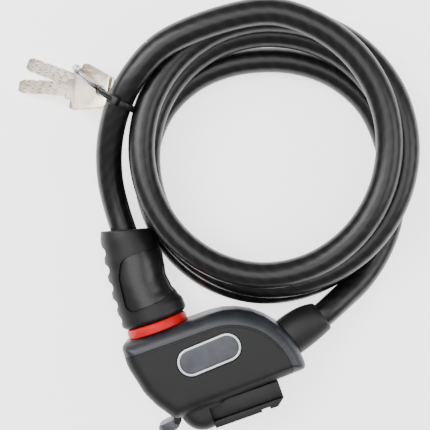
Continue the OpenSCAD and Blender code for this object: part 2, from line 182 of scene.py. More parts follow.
def pillowSolid(name, corners, low, high, roundWide, roundDeep, steps=7):
    # Outlines at several heights, wrapped in one skin
    loops = []
    for k in range(steps + 1):
        angle = math.pi / 2 * k / steps
        inset, depth = roundWide * (1 - math.cos(angle)), roundDeep * (1 - math.sin(angle))
        for height in (low + depth, high - depth):
            loops += [(p.x, p.y, height) for p in filletedLoop(insetCorners(corners, inset))]
    bpy.ops.mesh.primitive_circle_add(vertices=len(loops), radius=1, fill_type="NOTHING")
    piece = newest(name)
    for vertex, point in zip(piece.data.vertices, loops):
        vertex.co = point
    startEdit(piece)
    bpy.ops.mesh.convex_hull()
    endEdit()
    return tidyShell(piece)


def loftedSolid(name, stations, sides=64):
    # Oval sections along +Y: each station is y, left edge x, right edge x, middle z, half depth
    y, left, right, middle, deep = stations[0]
    bpy.ops.mesh.primitive_circle_add(vertices=sides, radius=1, fill_type="NGON",
                                      rotation=(math.pi / 2, 0, 0), location=((left + right) / 2, y, middle))
    piece = newest(name)
    piece.scale = ((right - left) / 2, deep, 1)
    bpy.ops.object.transform_apply(location=True, rotation=True, scale=True)
    startEdit(piece)
    wide, x = (right - left) / 2, (left + right) / 2
    for nextY, left, right, nextMiddle, nextDeep in stations[1:]:
        nextX, nextWide = (left + right) / 2, (right - left) / 2
        bpy.ops.mesh.extrude_region_move(
            TRANSFORM_OT_translate={"value": (nextX - x, nextY - y, nextMiddle - middle)})
        bpy.ops.transform.resize(value=(nextWide / wide, 1, nextDeep / deep),
                                 center_override=(nextX, nextY, nextMiddle))
        x, y, middle, wide, deep = nextX, nextY, nextMiddle, nextWide, nextDeep
    endEdit()
    return tidyShell(piece)


def moved(piece, matrix):
    activate(piece)
    piece.matrix_world = matrix @ piece.matrix_world
    bpy.ops.object.transform_apply(location=True, rotation=True, scale=True)
    return piece


def copied(piece, name):
    twin = piece.copy()
    twin.data = piece.data.copy()
    bpy.context.collection.objects.link(twin)
    twin.name = name
    twin.data.name = name
    return twin


def joined(pieces, name):
    activate(pieces[0])
    for piece in pieces[1:]:
        piece.select_set(True)
    bpy.ops.object.join()
    return newest(name)


def combined(piece, cutter, operation="DIFFERENCE", keep=False):
    withModifier(piece, "BOOLEAN", operation=operation, object=cutter, solver="EXACT")
    if not keep:
        bpy.data.objects.remove(cutter)
    return piece


def softEdges(piece, width, segments=2, angle=35):
    return withModifier(piece, "BEVEL", width=width, segments=segments, limit_method="ANGLE",
                        angle_limit=math.radians(angle), use_clamp_overlap=True)


def smoothPoints(points, step):
    # A smooth line through given points, centripetal so that it never loops
    points = [Vector(p) for p in points]
    line = []
    for i in range(len(points) - 1):
        p1, p2 = points[i], points[i + 1]
        p0 = points[i - 1] if i else 2 * p1 - p2
        p3 = points[i + 2] if i + 2 < len(points) else 2 * p2 - p1
        d0, d1, d2 = [max((b - a).length, 1e-6) ** 0.5 for a, b in ((p0, p1), (p1, p2), (p2, p3))]
        m1 = (p2 - p1) + d1 * ((p1 - p0) / d0 - (p2 - p0) / (d0 + d1))
        m2 = (p2 - p1) + d1 * ((p3 - p2) / d2 - (p3 - p1) / (d1 + d2))
        count = max(2, int((p2 - p1).length / step))
        for k in range(count):
            f = k / count
            line.append((2 * f**3 - 3 * f**2 + 1) * p1 + (f**3 - 2 * f**2 + f) * m1
                        + (3 * f**2 - 2 * f**3) * p2 + (f**3 - f**2) * m2)
    return line + [points[-1]]


def sweptTube(name, line, radius, sides=24, startLength=0.0, up=(0, 0, 1), flat=1.0):
    # Rings along the line, with a UV map that holds the turn round it and the metres along it
    count, points, faces = len(line), [], []
    lengths, up = [startLength], Vector(up)
    for a, b in zip(line, line[1:]):
        lengths.append(lengths[-1] + (b - a).length)
    for i, centre in enumerate(line):
        along = (line[min(i + 1, count - 1)] - line[max(i - 1, 0)]).normalized()
        side = along.cross(up).normalized()
        over = side.cross(along)
        for k in range(sides):
            angle = 2 * math.pi * k / sides
            points.append(centre + radius * (side * math.cos(angle) + over * math.sin(angle) * flat))
    for i in range(count - 1):
        for k in range(sides):
            a, b = i * sides + k, i * sides + (k + 1) % sides
            faces.append((a, b, b + sides, a + sides))
    faces.append(tuple(reversed(range(sides))))
    faces.append(tuple(range((count - 1) * sides, count * sides)))
    mesh = bpy.data.meshes.new(name)
    mesh.from_pydata(points, [], faces)
    piece = bpy.data.objects.new(name, mesh)
    bpy.context.collection.objects.link(piece)
    uv = mesh.uv_layers.new(name="cableRun")
    corner = 0
    for i in range(count - 1):
        for k in range(sides):
            for turn, ring in ((k, i), (k + 1, i), (k + 1, i + 1), (k, i + 1)):
                uv.data[corner].uv = (turn / sides, lengths[ring] * mm)
                corner += 1
    startEdit(piece)
    bpy.ops.mesh.normals_make_consistent(inside=False)
    endEdit()
    return piece


def finishPiece(piece, body, material, nodes=(), angle=35):
    moved(piece, Matrix.Scale(mm, 4))
    bpy.ops.object.shade_smooth_by_angle(angle=math.radians(angle))
    piece.data.materials.clear()
    piece.data.materials.append(material)
    if body:
        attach(piece, body)
    if nodes:
        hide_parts(*nodes)
    return piece


# ---- materials ----

def linearColour(hexColour):
    channels = [int(hexColour[i:i + 2], 16) / 255 for i in (1, 3, 5)]
    return [c / 12.92 if c <= 0.04045 else ((c + 0.055) / 1.055) ** 2.4 for c in channels] + [1.0]


def addNode(tree, kind, settings=None, links=None):
    # A key that is one of the node's sockets sets that socket, and any other is a setting
    node = tree.nodes.new(kind)
    settings = dict(settings or {})
    for key in [k for k in settings if isinstance(k, str) and k not in node.inputs]:
        setattr(node, key, settings.pop(key))
    for key, value in settings.items():
        node.inputs[key].default_value = value
    for key, source in (links or {}).items():
        tree.links.new(source, node.inputs[key])
    return node


def newMaterial(name, **shader):
    material = bpy.data.materials.new(name)
    material.use_nodes = True
    tree = material.node_tree
    skin = tree.nodes["Principled BSDF"]
    for key, value in shader.items():
        skin.inputs[key.replace("_", " ")].default_value = value
    place = addNode(tree, "ShaderNodeTexCoord").outputs["Object"]
    return material, tree, skin, place


def mouldedPlastic(name, dark, light, rough, grain, depth, cloud=9.0, **shader):
    # Grain and cloud are feature sizes in millimetres; depth is the height of the grain
    material, tree, skin, place = newMaterial(name, **shader)
    grit = addNode(tree, "ShaderNodeTexNoise", {"Scale": 1 / (grain * mm), "Detail": 2.0}, {"Vector": place})
    drift = addNode(tree, "ShaderNodeTexNoise", {"Scale": 1 / (cloud * mm), "Detail": 3.0}, {"Vector": place})
    blend = addNode(tree, "ShaderNodeMath", {"operation": "MULTIPLY_ADD", 1: 0.35},
                    {0: grit.outputs["Fac"], 2: drift.outputs["Fac"]})
    share = addNode(tree, "ShaderNodeMapRange", {"From Min": 0.45, "From Max": 0.9},
                    {"Value": blend.outputs[0]})
    paint = addNode(tree, "ShaderNodeMix", {"data_type": "RGBA", 6: linearColour(dark),
                                            7: linearColour(light)}, {0: share.outputs[0]})
    gloss = addNode(tree, "ShaderNodeMapRange", {"To Min": rough - 0.06, "To Max": rough + 0.08},
                    {"Value": drift.outputs["Fac"]})
    bump = addNode(tree, "ShaderNodeBump", {"Strength": 0.6, "Distance": depth * mm},
                   {"Height": grit.outputs["Fac"]})
    tree.links.new(paint.outputs[2], skin.inputs["Base Color"])
    tree.links.new(gloss.outputs[0], skin.inputs["Roughness"])
    tree.links.new(bump.outputs[0], skin.inputs["Normal"])
    return material


def workedMetal(name, dark, light, rough, scratch, stretch=(1, 1, 1), depth=0.01, **shader):
    # Scratch is the width of the tool marks in millimetres, and stretch says which way they run
    material, tree, skin, place = newMaterial(name, Metallic=1.0, **shader)
    turned = addNode(tree, "ShaderNodeMapping", {"Scale": stretch}, {"Vector": place})
    marks = addNode(tree, "ShaderNodeTexNoise", {"Scale": 1 / (scratch * mm), "Detail": 4.0},
                    {"Vector": turned.outputs[0]})
    stain = addNode(tree, "ShaderNodeTexNoise", {"Scale": 1 / (6 * mm), "Detail": 2.0}, {"Vector": place})
    share = addNode(tree, "ShaderNodeMapRange", {"From Min": 0.35, "From Max": 0.65},
                    {"Value": stain.outputs["Fac"]})
    paint = addNode(tree, "ShaderNodeMix", {"data_type": "RGBA", 6: linearColour(dark),
                                            7: linearColour(light)}, {0: share.outputs[0]})
    gloss = addNode(tree, "ShaderNodeMapRange", {"To Min": rough - 0.08, "To Max": rough + 0.12},
                    {"Value": marks.outputs["Fac"]})
    bump = addNode(tree, "ShaderNodeBump", {"Strength": 0.35, "Distance": depth * mm},
                   {"Height": marks.outputs["Fac"]})
    tree.links.new(paint.outputs[2], skin.inputs["Base Color"])
    tree.links.new(gloss.outputs[0], skin.inputs["Roughness"])
    tree.links.new(bump.outputs[0], skin.inputs["Normal"])
    return material


jacketLook = {
    "clearDark": "#0c0b0c",
    "clearLight": "#1c1a1b",
    "strandCount": 7,       # outer strands of the steel rope that show through the jacket
    "strandTurn": 62,       # millimetres of cable for one turn of a strand
    "roughness": 0.33,
    "mottle": 5.0,          # millimetres between cloudy patches in the jacket
}


def smokyPvcJacket(look):
    # Extruded clear-black PVC: smooth, waxy gloss, with the steel strands as faint slanted bands
    material, tree, skin, place = newMaterial("smokyPvcJacket", Coat_Weight=0.06, Coat_Roughness=0.25,
                                              Specular_IOR_Level=0.34)
    run = addNode(tree, "ShaderNodeUVMap", {"uv_map": "cableRun"})
    parts = addNode(tree, "ShaderNodeSeparateXYZ", None, {0: run.outputs[0]})
    around = addNode(tree, "ShaderNodeMath", {"operation": "MULTIPLY", 1: float(look["strandCount"])},
                     {0: parts.outputs[0]})
    slant = addNode(tree, "ShaderNodeMath",
                    {"operation": "MULTIPLY_ADD", 1: look["strandCount"] / (look["strandTurn"] * mm)},
                    {0: parts.outputs[1], 2: around.outputs[0]})
    mottle = addNode(tree, "ShaderNodeTexNoise", {"Scale": 1 / (look["mottle"] * mm), "Detail": 3.0},
                     {"Vector": place})
    wander = addNode(tree, "ShaderNodeMath", {"operation": "MULTIPLY_ADD", 1: 0.5},
                     {0: mottle.outputs["Fac"], 2: slant.outputs[0]})
    strand = addNode(tree, "ShaderNodeMath", {"operation": "PINGPONG", 1: 0.5}, {0: wander.outputs[0]})
    ridge = addNode(tree, "ShaderNodeMapRange", {"interpolation_type": "SMOOTHSTEP", "From Min": 0.08,
                                                 "From Max": 0.5}, {"Value": strand.outputs[0]})
    share = addNode(tree, "ShaderNodeMath", {"operation": "MULTIPLY"},
                    {0: ridge.outputs[0], 1: mottle.outputs["Fac"]})
    paint = addNode(tree, "ShaderNodeMix", {"data_type": "RGBA", 6: linearColour(look["clearDark"]),
                                            7: linearColour(look["clearLight"])}, {0: share.outputs[0]})
    gloss = addNode(tree, "ShaderNodeMapRange", {"To Min": look["roughness"] - 0.07,
                                                 "To Max": look["roughness"] + 0.1},
                    {"Value": mottle.outputs["Fac"]})
    bump = addNode(tree, "ShaderNodeBump", {"Strength": 0.25, "Distance": 0.12 * mm},
                   {"Height": ridge.outputs[0]})
    tree.links.new(paint.outputs[2], skin.inputs["Base Color"])
    tree.links.new(gloss.outputs[0], skin.inputs["Roughness"])
    tree.links.new(bump.outputs[0], skin.inputs["Normal"])
    return material


jacket = smokyPvcJacket(jacketLook)
# Zinc die casting, powder coated blue grey: satin, with fine orange peel
bandCoat = mouldedPlastic("powderCoatedZinc", "#1d1f24", "#272a30", 0.42, 0.7, 0.02, Specular_IOR_Level=0.45)
# Spark-eroded black ABS: an even matt grain that breaks up every highlight
coverAbs = mouldedPlastic("sparkErodedAbs", "#0d0d0e", "#161617", 0.52, 0.45, 0.05, Specular_IOR_Level=0.35)
# Soft-touch TPE over the grip: dull, slightly silky
gripTpe = mouldedPlastic("softTouchTpe", "#0b0b0c", "#141415", 0.48, 0.6, 0.03, Specular_IOR_Level=0.35)
# The thumb panel has a coarser pebble grain that glints
padGrain = mouldedPlastic("pebbleGrainTpe", "#0d0d0f", "#1a1a1c", 0.34, 0.9, 0.08, Specular_IOR_Level=0.45)
# Injection-moulded cable boot: matt elastomer
bootTpe = mouldedPlastic("mattElastomer", "#0c0c0d", "#161617", 0.5, 0.5, 0.03, Specular_IOR_Level=0.35)
# Glass-filled nylon rail: grey-black with a slight fleck
railNylon = mouldedPlastic("glassFilledNylon", "#101011", "#1b1b1d", 0.5, 0.35, 0.03, Specular_IOR_Level=0.35)
# Mid-grey acetal flap: smooth, half gloss
flapAcetal = mouldedPlastic("acetalGrey", "#34373c", "#454950", 0.38, 1.2, 0.01)
# Translucent red polycarbonate ring: glossy, with light spread inside it
ringRed = mouldedPlastic("redPolycarbonate", "#b40d10", "#cc1718", 0.42, 1.5, 0.01, Specular_IOR_Level=0.2,
                         Subsurface_Weight=0.15, Subsurface_Radius=(0.004, 0.001, 0.001))
# Hot-stamped foil on the badge rim, nearly white, and the grey metallic field inside it
badgeFoil = mouldedPlastic("silverFoilRim", "#c9cbcf", "#dfe0e3", 0.28, 0.8, 0.01, Metallic=0.35)
badgeField = mouldedPlastic("metallicGreyLacquer", "#34353b", "#484a51", 0.42, 0.35, 0.01, Metallic=0.2)
# Nylon 6.6 tie: black, slightly waxy
tieNylon = mouldedPlastic("nylonTie", "#050505", "#0a0a0b", 0.38, 0.8, 0.01, Specular_IOR_Level=0.3)
# Black nitrile wiper: dull rubber
wiperRubber = mouldedPlastic("nitrileRubber", "#0b0b0c", "#131314", 0.6, 0.5, 0.02)
# Nickel-plated brass key: warm white metal, tumbled so that it is bright but softly scratched
keyNickel = workedMetal("nickelPlatedBrass", "#cfc3b0", "#eadfcf", 0.3, 0.5, (1, 1, 0.3), 0.012)
# Spring-steel split ring, polished
ringSteel = workedMetal("polishedRingSteel", "#a9aaac", "#cfd0d2", 0.16, 0.4)
# Ground and hardened steel: grey with fine lines round the part
bolt = workedMetal("groundSteel", "#8d8f92", "#a9abae", 0.27, 0.25, (1, 6, 1))
# Brass lock cylinder, chemically darkened
cylinderBrass = workedMetal("bronzedCylinder", "#2b2520", "#3a322a", 0.34, 0.3)
# Nickel-plated plug face
plugNickel = workedMetal("nickelPlug", "#b9b5ad", "#d2cec6", 0.22, 0.3)
# Zinc-plated screws: bluish, slightly cloudy
screwZinc = workedMetal("zincPlate", "#8f9397", "#b0b4b8", 0.33, 0.4)
# Drawn spring wire
springWire = workedMetal("springWire", "#7d7f82", "#9a9c9f", 0.3, 0.2)
print("materials made")


# ---- camera, floor and light ----

viewSettings = {
    "place": (0.027, 0.082, 0.548),     # metres, straight above the middle of the lock
    "turn": -19.5,                      # degrees about the upright axis
    "angle": 26.9,                      # field of view in degrees
}
cameraData = bpy.data.cameras.new("camera")
cameraData.angle = math.radians(viewSettings["angle"])
camera = bpy.data.objects.new("camera", cameraData)
camera.location = viewSettings["place"]
camera.rotation_euler = (0, 0, math.radians(viewSettings["turn"]))
bpy.context.collection.objects.link(camera)
bpy.context.scene.camera = camera

activate(camera)
bpy.ops.mesh.primitive_plane_add(size=4, location=(0.03, 0.08, -0.0004))
floor = newest("floor")
floorPaint, floorTree, floorSkin, floorPlace = newMaterial("paleFloor", Roughness=0.9, Emission_Strength=1.8)
floorSkin.inputs["Emission Color"].default_value = (1, 1, 1, 1)
floorNoise = addNode(floorTree, "ShaderNodeTexNoise", {"Scale": 18.0, "Detail": 2.0}, {"Vector": floorPlace})
floorMix = addNode(floorTree, "ShaderNodeMix", {"data_type": "RGBA", 6: linearColour("#fbfbfc"),
                                                7: linearColour("#ffffff")}, {0: floorNoise.outputs["Fac"]})
floorTree.links.new(floorMix.outputs[2], floorSkin.inputs["Base Color"])
floor.data.materials.append(floorPaint)

lamps = {
    "softbox": {"place": (-0.35, 0.55, 0.85), "size": 0.55, "power": 9.0},
    "sideFill": {"place": (0.75, -0.2, 0.7), "size": 0.6, "power": 5.0},
    "keyGlow": {"place": (-0.6, 0.56, 0.56), "size": 0.3, "power": 1.6},
    "topSheet": {"place": (0.0, 0.1, 1.3), "size": 0.9, "power": 9.0},
}
for lampName, lamp in lamps.items():
    light = bpy.data.lights.new(lampName, "AREA")
    light.size = lamp["size"]
    light.energy = lamp["power"]
    lampObject = bpy.data.objects.new(lampName, light)
    lampObject.location = lamp["place"]
    aim = Vector((0.03, 0.08, 0.02)) - Vector(lamp["place"])
    lampObject.rotation_euler = aim.to_track_quat("-Z", "Y").to_euler()
    bpy.context.collection.objects.link(lampObject)
world = bpy.data.worlds.new("studio")
world.use_nodes = True
world.node_tree.nodes["Background"].inputs["Color"].default_value = (1, 1, 1, 1)
world.node_tree.nodes["Background"].inputs["Strength"].default_value = 0.46
bpy.context.scene.world = world
print("camera, floor and light set")


# ---- cable ----

cableSettings = {
    "diameter": 15.0,
    "sides": 28,
    "step": 2.6,
    # From the grip's end to the coil
    "latchRoute": [(-26.5, 84, 20), (-26.5, 90, 20), (-26, 105, 21), (-23.5, 122, 25), (-17, 139.5, 31.5),
                   (-6, 156, 39), (10, 170.5, 45.5), (34, 181.5, 49)],
    # The coil, a radius and a height at every quarter turn, clockwise from the tie
    "coilCentre": (66, 109),
    "startAngle": 160.5,
    "radii": [89, 74, 69, 72.5, 69.5, 73.5, 80.5, 79, 67, 67.5, 78, 84, 68.5, 54.5, 76.5],
    "heights": [37, 51.5, 49.5, 41.5, 38.5, 34.5, 39.5, 26.5, 23.5, 20.5, 24, 11.5, 7.5, 8, 8],
    # From the coil to the boot
    "bodyRoute": [(132.5, 59.5, 7.6), (123, 41, 7.7), (110.5, 27, 8.2), (95.5, 16.5, 11), (80, 10.5, 17),
                  (66.6, 5.5, 20), (56, 2.1, 20)],
    "splitAt": 118.0,       # millimetres from the grip's end, where the part that moves with the latch stops
}


def betweenKnots(values, t):
    last = len(values) - 1
    i = min(int(t), last - 1)
    f = t - i
    p1, p2 = values[i], values[i + 1]
    p0 = values[i - 1] if i else 2 * p1 - p2
    p3 = values[i + 2] if i + 2 <= last else 2 * p2 - p1
    return 0.5 * (2 * p1 + (p2 - p0) * f + (2 * p0 - 5 * p1 + 4 * p2 - p3) * f * f
                  + (3 * p1 - p0 - 3 * p2 + p3) * f ** 3)


coilPoints = []
for quarter in range(4, 57):
    t = quarter / 4
    angle = math.radians(cableSettings["startAngle"] - 90 * t)
    radius = betweenKnots(cableSettings["radii"], t)
    coilPoints.append((cableSettings["coilCentre"][0] + radius * math.cos(angle),
                       cableSettings["coilCentre"][1] + radius * math.sin(angle),
                       betweenKnots(cableSettings["heights"], t)))
cableLine = smoothPoints(cableSettings["latchRoute"] + coilPoints + cableSettings["bodyRoute"],
                         cableSettings["step"])
runLength, splitIndex = 0.0, 0
for index in range(1, len(cableLine)):
    runLength += (cableLine[index] - cableLine[index - 1]).length
    if not splitIndex and runLength >= cableSettings["splitAt"]:
        splitIndex, splitLength = index, runLength
print("cable is", round(runLength), "mm long")

cableRadius = cableSettings["diameter"] / 2
latchCable = sweptTube("latchCable", cableLine[:splitIndex + 1], cableRadius, cableSettings["sides"])
coilCable = sweptTube("coilCable", cableLine[splitIndex:], cableRadius, cableSettings["sides"], splitLength)
finishPiece(latchCable, None, jacket, ["cable_latch_run"], 50)
finishPiece(coilCable, "head", jacket, ["cable_coil", "cable_body_run"], 50)
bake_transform(latchCable)
print("cable laid")


# ---- lock head ----

headSettings = {
    "height": 40.0,
    "outline": [(-48.9, 30, 3.5), (-49.5, 17, 20), (-45.4, -1, 14), (-41.2, -9.7, 9), (-33.4, -21, 4),
                (47.5, -18.4, 3), (47.5, 30, 43.4)],
    "roundWide": 8.2,
    "roundDeep": 9.0,
    "noseCentre": (-16.6, -19.9),
    "noseRadius": 13.4,
    "noseHeight": (3.2, 36.8),
    "voxel": 0.6,
    "bandCentre": (4, -13.5),
    "coverRadius": 35.5,
    "groove": 0.12,
    "railStart": -13,
    "coverBottom": -20.6,
    "wall": 2.6,
}


def headForm():
    form = pillowSolid("headForm", headSettings["outline"], 0, headSettings["height"],
                       headSettings["roundWide"], headSettings["roundDeep"])
    x, y = headSettings["noseCentre"]
    radius = headSettings["noseRadius"]
    corners = [(x - radius, y - radius, radius * 0.99), (x + radius, y - radius, radius * 0.99),
               (x + radius, y + 2 * radius, radius * 0.9), (x - radius, y + 2 * radius, radius * 0.9)]
    nose = pillowSolid("noseForm", corners, *headSettings["noseHeight"], 7.5, 8)
    combined(form, nose, "UNION")
    withModifier(form, "REMESH", mode="VOXEL", voxel_size=headSettings["voxel"], use_smooth_shade=True)
    withModifier(form, "SMOOTH", factor=0.5, iterations=14)
    lowCut = block("lowCut", (headSettings["railStart"], -60, -5), (60, headSettings["coverBottom"], 45))
    return combined(form, lowCut)


def coverArea(name, grow, low, high):
    x, y = headSettings["bandCentre"]
    radius = headSettings["coverRadius"] + grow
    arc = [(x + radius * math.cos(math.radians(a)), y + radius * math.sin(math.radians(a)))
           for a in range(90, -1, -3)]
    loop = [(-80, y + radius)] + arc + [(x + radius, -60), (-80, -60)]
    return outlineSolid(name, loop, low, high)


latchTurn = Matrix.Translation((-26.5, 0, 20)) @ Matrix.Rotation(-math.pi / 2, 4, "X")
bootTurn = (Matrix.Translation((45.9, -1.2, 20)) @ Matrix.Rotation(math.radians(17.5), 4, "Z")
            @ Matrix.Rotation(math.pi / 2, 4, "Y"))
lockTurn = (Matrix.Translation((-38.1, -14.2, 20)) @ Matrix.Rotation(math.radians(34.5), 4, "Z")
            @ Matrix.Rotation(math.pi / 2, 4, "Y"))
flapHinge = (-33.7, -22.8)

form = headForm()
print("head form made")

band = copied(form, "centreBand")
combined(band, coverArea("bandCut", headSettings["groove"], -5, 45))
combined(band, moved(roundBar("mouthBore", 9.3, 2, 60), latchTurn))
combined(band, moved(roundBar("bootBore", 9.2, -20, 40), bootTurn))
softEdges(band, 0.3, 2, 50)
finishPiece(band, "head", bandCoat, ["centre_frame"], 40)

combined(form, coverArea("coverKeep", -headSettings["groove"], -5, 45), "INTERSECT")
wall = headSettings["wall"]
for inset, depth in ((wall, 9.5), (7.5, wall)):
    hollow = outlineSolid("hollow", filletedLoop(insetCorners(headSettings["outline"], inset), 4),
                          depth, headSettings["height"] - depth)
    combined(hollow, coverArea("hollowKeep", -wall / 2, -5, 45), "INTERSECT")
    combined(form, hollow)
openings = [
    moved(roundBar("guideRoom", 9.2, 4.5, 44), latchTurn),
    moved(roundBar("cylinderRoom", 8.6, -10, 20), lockTurn),
    moved(roundBar("ferruleRoom", 9.2, -20, 10), bootTurn),
    block("catchRoom", (-22.9, 18.8, 14.1), (-9.7, 21.8, 25.9)),
]
for opening in openings:
    combined(form, opening)
for side in (-1, 1):
    pinTurn = (bootTurn @ Matrix.Translation((0, side * 10.7, -14))
               @ Matrix.Rotation(math.pi / 2, 4, "Y"))
    combined(form, moved(roundBar("pinRoom", 1.56, -8.2, 8.2, 24), pinTurn))
knuckleRoom = roundBar("knuckleRoom", 3.1, 12.1, 27.9)
moved(knuckleRoom, Matrix.Translation((*flapHinge, 0)))
combined(form, knuckleRoom)

badgeSettings = {
    "centre": (-2.5, 8.6),
    "turn": 3.0,
    "long": 37.6,
    "wide": 15.9,
    "rim": 1.25,
    "groove": 0.75,
    "rise": 0.35,
}


def badgeLoop(grow):
    half, radius = badgeSettings["long"] / 2 + grow, badgeSettings["wide"] / 2 + grow
    corners = [(-half, -radius, radius * 0.98), (half, -radius, radius * 0.98),
               (half, radius, radius * 0.98), (-half, radius, radius * 0.98)]
    turn = Matrix.Rotation(math.radians(badgeSettings["turn"]), 2)
    return [Vector(badgeSettings["centre"]) + turn @ Vector(p) for p in filletedLoop(corners, 14)]


frontCover = copied(form, "frontCover")
backCover = form
backCover.name = "backCover"
combined(frontCover, block("frontKeep", (-80, -60, 20.12), (80, 60, 60)), "INTERSECT")
combined(backCover, block("backKeep", (-80, -60, -20), (80, 60, 19.88)), "INTERSECT")
combined(frontCover, outlineSolid("badgePocket", badgeLoop(badgeSettings["groove"]), 38.5, 45))
for x, y in ((-42, 13.5), (18, 13), (6, -14.5)):
    combined(backCover, moved(roundBar("screwSink", 3.0, -2, 4.4, 32), Matrix.Translation((x, y, 0))))
    pillar = moved(turnedSolid("pillar", [(1.72, 4.6), (4.2, 4.6), (4.2, 19.8), (1.72, 19.8)], 32),
                   Matrix.Translation((x, y, 0)))
    backCover = joined([backCover, pillar], "backCover")
    post = moved(turnedSolid("post", [(1.45, 20.2), (3.2, 20.2), (3.2, 37.6), (1.45, 37.6)], 32),
                 Matrix.Translation((x, y, 0)))
    frontCover = joined([frontCover, post], "frontCover")

# A fine raised bead follows the cover's edge beside the band
beadRadius, beadHeight = headSettings["coverRadius"] - 1.15, 39.72
bandX, bandY = headSettings["bandCentre"]
beadLine = [Vector((x, bandY + beadRadius, beadHeight)) for x in range(-40, bandX, 4)]
for a in range(90, 14, -3):
    beadLine.append(Vector((bandX + beadRadius * math.cos(math.radians(a)),
                            bandY + beadRadius * math.sin(math.radians(a)), beadHeight)))
bead = sweptTube("edgeBead", beadLine, 0.42, 10)
frontCover = joined([frontCover, bead], "frontCover")
for height in (28.2, 8.8):
    x, y = flapHinge
    earCorners = [(x - 1.4, y - 1.4, 1.3), (x + 1.4, y - 1.4, 1.3), (x + 3.4, y + 4.2, 0.5),
                  (x - 0.4, y + 4.2, 0.5)]
    ear = outlineSolid("hingeEar", filletedLoop(earCorners), height, height + 3)
    softEdges(ear, 0.4, 2)
    if height > 20:
        frontCover = joined([frontCover, ear], "frontCover")
    else:
        backCover = joined([backCover, ear], "backCover")
finishPiece(frontCover, "head", coverAbs, ["front_cover"], 40)
finishPiece(backCover, "head", coverAbs, ["back_cover"], 40)
print("covers and band made")

rimOuter, rimInner = badgeLoop(0), badgeLoop(-badgeSettings["rim"])
badgeRim = outlineSolid("badgeRim", rimOuter, 38.5, 40 + badgeSettings["rise"])
combined(badgeRim, outlineSolid("rimHole", rimInner, 30, 45))
softEdges(badgeRim, 0.28, 3, 60)
finishPiece(badgeRim, "head", badgeFoil, ["badge_rim"], 40)
badge = outlineSolid("badgeField", badgeLoop(-badgeSettings["rim"] - 0.05), 38.5, 39.75)
startEdit(badge)
selectFaces(badge, lambda centre, normal: normal.z > 0.9)
bpy.ops.mesh.inset(thickness=0.9, depth=0.12)
bpy.ops.mesh.inset(thickness=0.4, depth=0.0)
endEdit()
finishPiece(badge, "head", badgeField, ["badge_plate"], 40)

mouthSettings = {
    # Radius, and height along the latch's axis
    "profile": [(9.4, 30.05), (17.6, 30.05), (18.0, 30.5), (18.05, 32.5), (17.9, 34.3), (17.3, 35.15),
                (16.6, 35.3), (9.4, 35.3)],
}
mouthRing = moved(turnedSolid("mouthRing", mouthSettings["profile"], 96), latchTurn)
softEdges(mouthRing, 0.25, 2, 25)
finishPiece(mouthRing, "head", ringRed, ["mouth_ring"], 40)

bootSettings = {
    # Along the cable from the band: the coil side, the outer side and half the depth
    "stations": [(-4, 13.6, 10.1, 11.6), (0, 13.8, 10.1, 11.5), (4, 13.7, 10.1, 11.3), (8, 13.4, 10.05, 11),
                 (12, 12.8, 9.9, 10.6), (16, 11.7, 9.6, 10.1), (19, 10.5, 9.25, 9.6), (20.6, 9.7, 9.0, 9.2),
                 (21.4, 9.1, 8.6, 8.8), (21.9, 8.3, 8.1, 8.1)],
}
boot = loftedSolid("cableBoot", [(along, -coilSide, outerSide, 0, deep)
                                 for along, coilSide, outerSide, deep in bootSettings["stations"]], 72)
bootFlat = Matrix.Translation((45.9, -1.2, 20)) @ Matrix.Rotation(math.radians(17.5 - 90), 4, "Z")
moved(boot, bootFlat)
combined(boot, moved(roundBar("bandFace", 43.5, -5, 45, 180), Matrix.Translation((4.1, -13.4, 0))))
bootNeck = moved(roundBar("bootNeck", 9.0, -6, 4, 64), bootTurn)
combined(boot, bootNeck, "UNION")
combined(boot, moved(roundBar("bootBore", 7.6, -20, 40, 64), bootTurn))
finishPiece(boot, "head", bootTpe, ["boot_sleeve"], 40)
print("badge, ring and boot made")


# ---- grip with its thumb panel ----

gripSettings = {
    "axis": -26.5,
    "depth": 14.7,
    "left": [(35.6, 18.5), (38, 19.6), (44, 19.6), (54, 19.4), (62, 18.8), (74, 17.4), (82, 16.0),
             (89, 15.2), (96, 13.6)],
    # Finger scallops: height along the grip, and how deep they cut
    "scallops": [(42.8, 1.8), (52.3, 2.8), (62.7, 3.2), (73.0, 3.3), (83.2, 2.9)],
    "scallopRadius": 3.9,
    "right": [(35.6, 18.8), (38, 19.6), (42.8, 19.4), (47, 17.5), (52, 15.6), (59, 14.8), (66, 16.0),
              (71.5, 16.9), (80, 16.5), (89, 15.2), (96, 13.6)],
    "step": 1.0,
    "topLeft": 95.2,
    "topRight": 88.2,
    "panel": [(-39.8, 44.4, 5), (-19, 45.8, 10), (-5, 49.5, 1), (-5, 76.2, 1), (-32.2, 76.2, 7),
              (-37.4, 66, 10)],
    "panelSink": 0.8,
    "lip": 0.35,
}


def edgeAt(edge, y):
    for (y0, r0), (y1, r1) in zip(edge, edge[1:]):
        if y <= y1:
            f = (y - y0) / (y1 - y0)
            return r0 + (r1 - r0) * f * f * (3 - 2 * f)
    return edge[-1][1]


def gripForm(name, inset):
    stations = []
    count = round(60.4 / gripSettings["step"])
    for i in range(count + 1):
        y = 35.6 + 60.4 * i / count
        ends = 1.0 - 0.05 * max(0, (y - 88) / 8) - 0.06 * max(0, (37.2 - y) / 1.6)
        stations.append((y, gripSettings["axis"] - edgeAt(gripSettings["left"], y) * ends + inset,
                         gripSettings["axis"] + edgeAt(gripSettings["right"], y) * ends - inset, 20,
                         gripSettings["depth"] * ends - inset))
    return loftedSolid(name, stations, 96)


def panelArea(name, grow, low, high):
    return outlineSolid(name, filletedLoop(insetCorners(gripSettings["panel"], -grow), 6), low, high)


